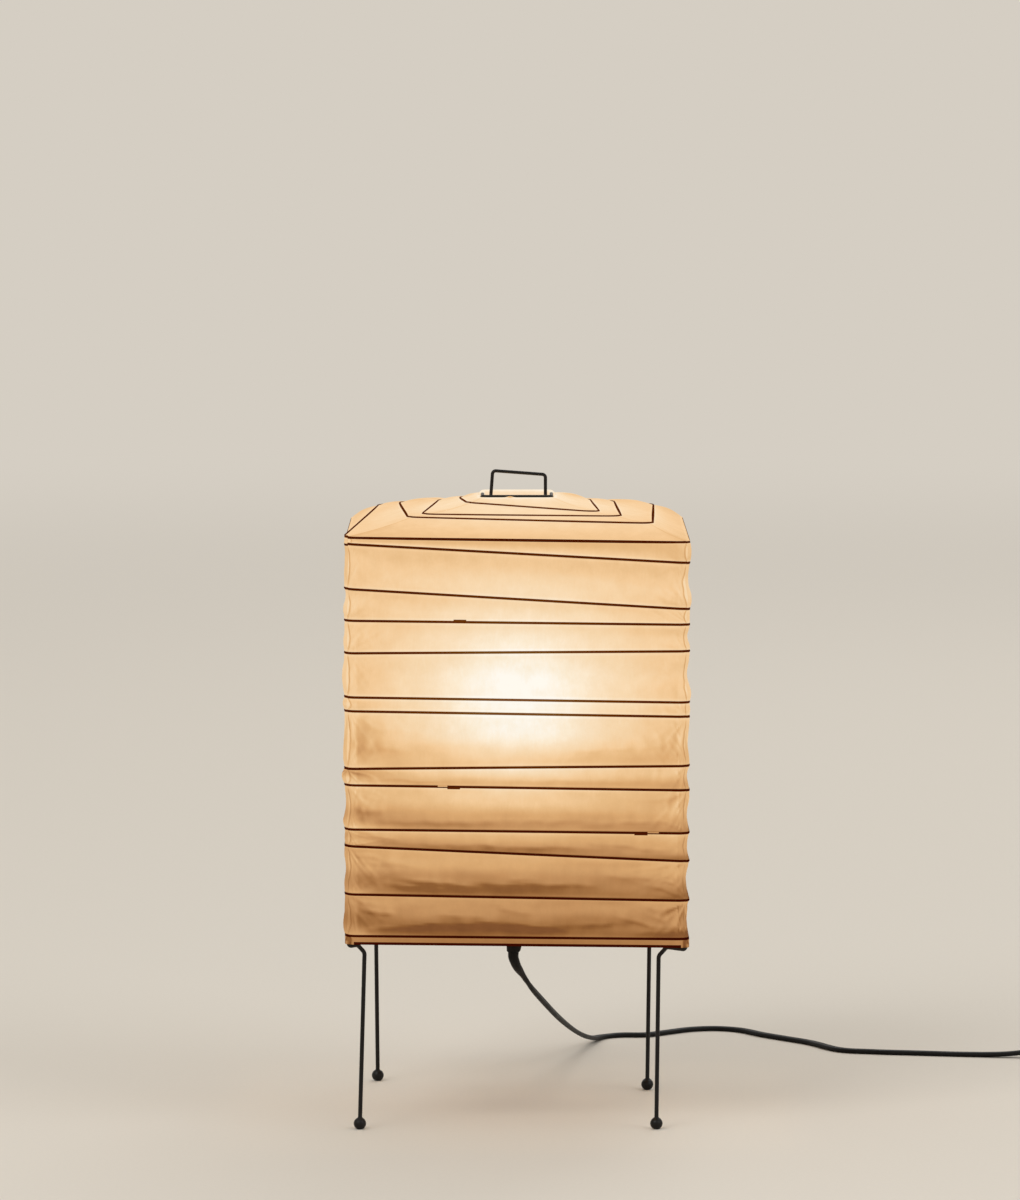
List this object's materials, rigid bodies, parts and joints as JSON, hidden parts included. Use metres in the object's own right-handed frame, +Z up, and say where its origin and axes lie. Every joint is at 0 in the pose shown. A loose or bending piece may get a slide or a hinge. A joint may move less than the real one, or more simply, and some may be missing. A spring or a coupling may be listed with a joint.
{
  "type": "paper table lamp",
  "caption": "Square washi lantern shade over a spiral of split bamboo, on bent black wire legs with ball feet, a wire handle, and a flat cord with in-line switch and plug.",
  "frame": {"origin": "on the table under the middle of the shade", "axes": "+Z up, the front of the lamp faces -Y, +X is to the right seen from the front"},
  "size_m": [0.6607, 0.489, 0.4579],
  "materials": {
    "washi": "soft unbleached washi, slightly wrinkled, lit from inside",
    "split_bamboo": "split bamboo strip, dark against the light",
    "ring_wire": "black painted wire",
    "black_wire": "satin black painted steel wire",
    "black_ball": "satin black painted steel ball",
    "hub_steel": "satin black painted steel plate",
    "zinc_steel": "zinc plated",
    "black_rubber": "matte black rubber",
    "black_cord": "smooth black flat twin cord",
    "bakelite": "moulded black resin",
    "steatite": "unglazed steatite",
    "sleeve_brass": "drawn brass",
    "bulb_glass": "frosted white inside",
    "cap_metal": "rolled thread",
    "black_glass": "black vitrite",
    "switch_plastic": "fine grained black moulding",
    "rocker_plastic": "smooth black moulding",
    "plug_plastic": "moulded black vinyl",
    "blade_metal": "nickel plated flat blades"
  },
  "bodies": {
    "root": {"paper_front": "washi", "paper_right": "washi", "paper_back": "washi", "paper_left": "washi", "roof_front": "washi", "roof_right": "washi", "roof_back": "washi", "roof_left": "washi", "ring_collar": "washi", "bamboo_upper": "split_bamboo", "bamboo_middle": "split_bamboo", "bamboo_short": "split_bamboo", "bamboo_lower": "split_bamboo", "bamboo_tail": "split_bamboo", "top_ring": "ring_wire", "bottom_ring": "ring_wire", "leg_front_left": "black_wire", "leg_front_right": "black_wire", "leg_rear_right": "black_wire", "leg_rear_left": "black_wire", "stretcher": "black_wire", "foot_front_left": "black_ball", "foot_front_right": "black_ball", "foot_rear_right": "black_ball", "foot_rear_left": "black_ball", "hub_plate": "hub_steel", "stretcher_sockets": "hub_steel", "stem": "zinc_steel", "stem_nuts": "zinc_steel", "stem_washers": "zinc_steel", "rocker_pin": "zinc_steel", "switch_screws": "zinc_steel", "cord_gland": "black_rubber", "coil_tie": "black_rubber", "cord": "black_cord", "cord_coil": "black_cord", "inner_lead": "black_cord", "holder_cap": "bakelite", "holder_skirt": "bakelite", "holder_insert": "steatite", "thread_sleeve": "sleeve_brass", "centre_contact": "sleeve_brass", "switch_base": "switch_plastic", "switch_cover": "switch_plastic", "plug_body": "plug_plastic", "plug_blades": "blade_metal"},
    "bulb_lift": {"bulb_tip": "sleeve_brass"},
    "bulb": {"bulb_glass": "bulb_glass", "bulb_cap": "cap_metal", "bulb_insulator": "black_glass"},
    "rocker": {"switch_rocker": "rocker_plastic"}
  },
  "joints": [
    {"name": "bulb_rise", "type": "slide", "parent": "root", "child": "bulb_lift", "axis": [0, 0, 1], "range_m": [0, 0.0145]},
    {"name": "bulb_turn", "type": "hinge", "parent": "bulb_lift", "child": "bulb", "pos_m": [0, 0, 0.25], "axis": [0, 0, 1], "range_deg": [0, 1440]},
    {"name": "rocker_tilt", "type": "hinge", "parent": "root", "child": "rocker", "pos_m": [0.424, 0.227, 0.01], "axis": [0, 1, 0], "range_deg": [-18, 0]}
  ],
  "couplings": [
    {"joint": "bulb_rise", "follows": "bulb_turn", "m_per_rad": 0.00057296}
  ]
}
